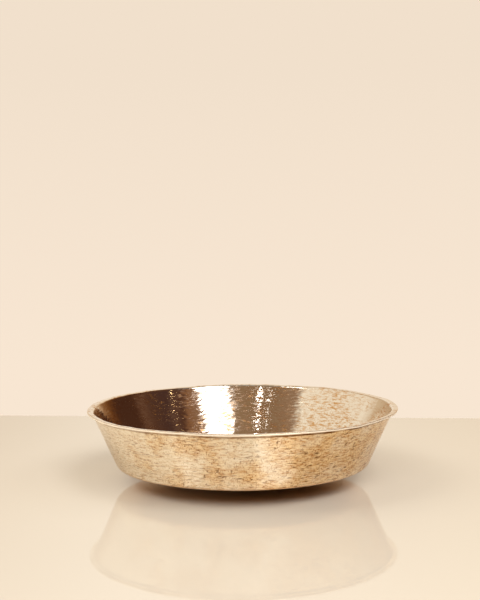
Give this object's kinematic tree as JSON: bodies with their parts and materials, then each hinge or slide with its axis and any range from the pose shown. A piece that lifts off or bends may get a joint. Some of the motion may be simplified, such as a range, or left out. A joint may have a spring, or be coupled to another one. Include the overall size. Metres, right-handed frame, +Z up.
{
  "type": "hammered metal bowl",
  "caption": "Wide shallow hand-hammered metal bowl with a straight flaring wall, slightly domed bottom, narrow turned-out lip and a bright tinned inside, for serving or display",
  "frame": {"origin": "centre of the flat spot under the bottom, where the bowl stands on the table", "axes": "+Z up along the bowl's axis of revolution; X and Y lie in the plane of the table, and the bowl looks the same along either"},
  "size_m": [0.3, 0.3, 0.071],
  "materials": {
    "hammered_bronze": "satin",
    "wiped_tin": "polished"
  },
  "bodies": {
    "root": {"bowl_body": "hammered_bronze", "tin_lining": "wiped_tin"}
  },
  "joints": []
}
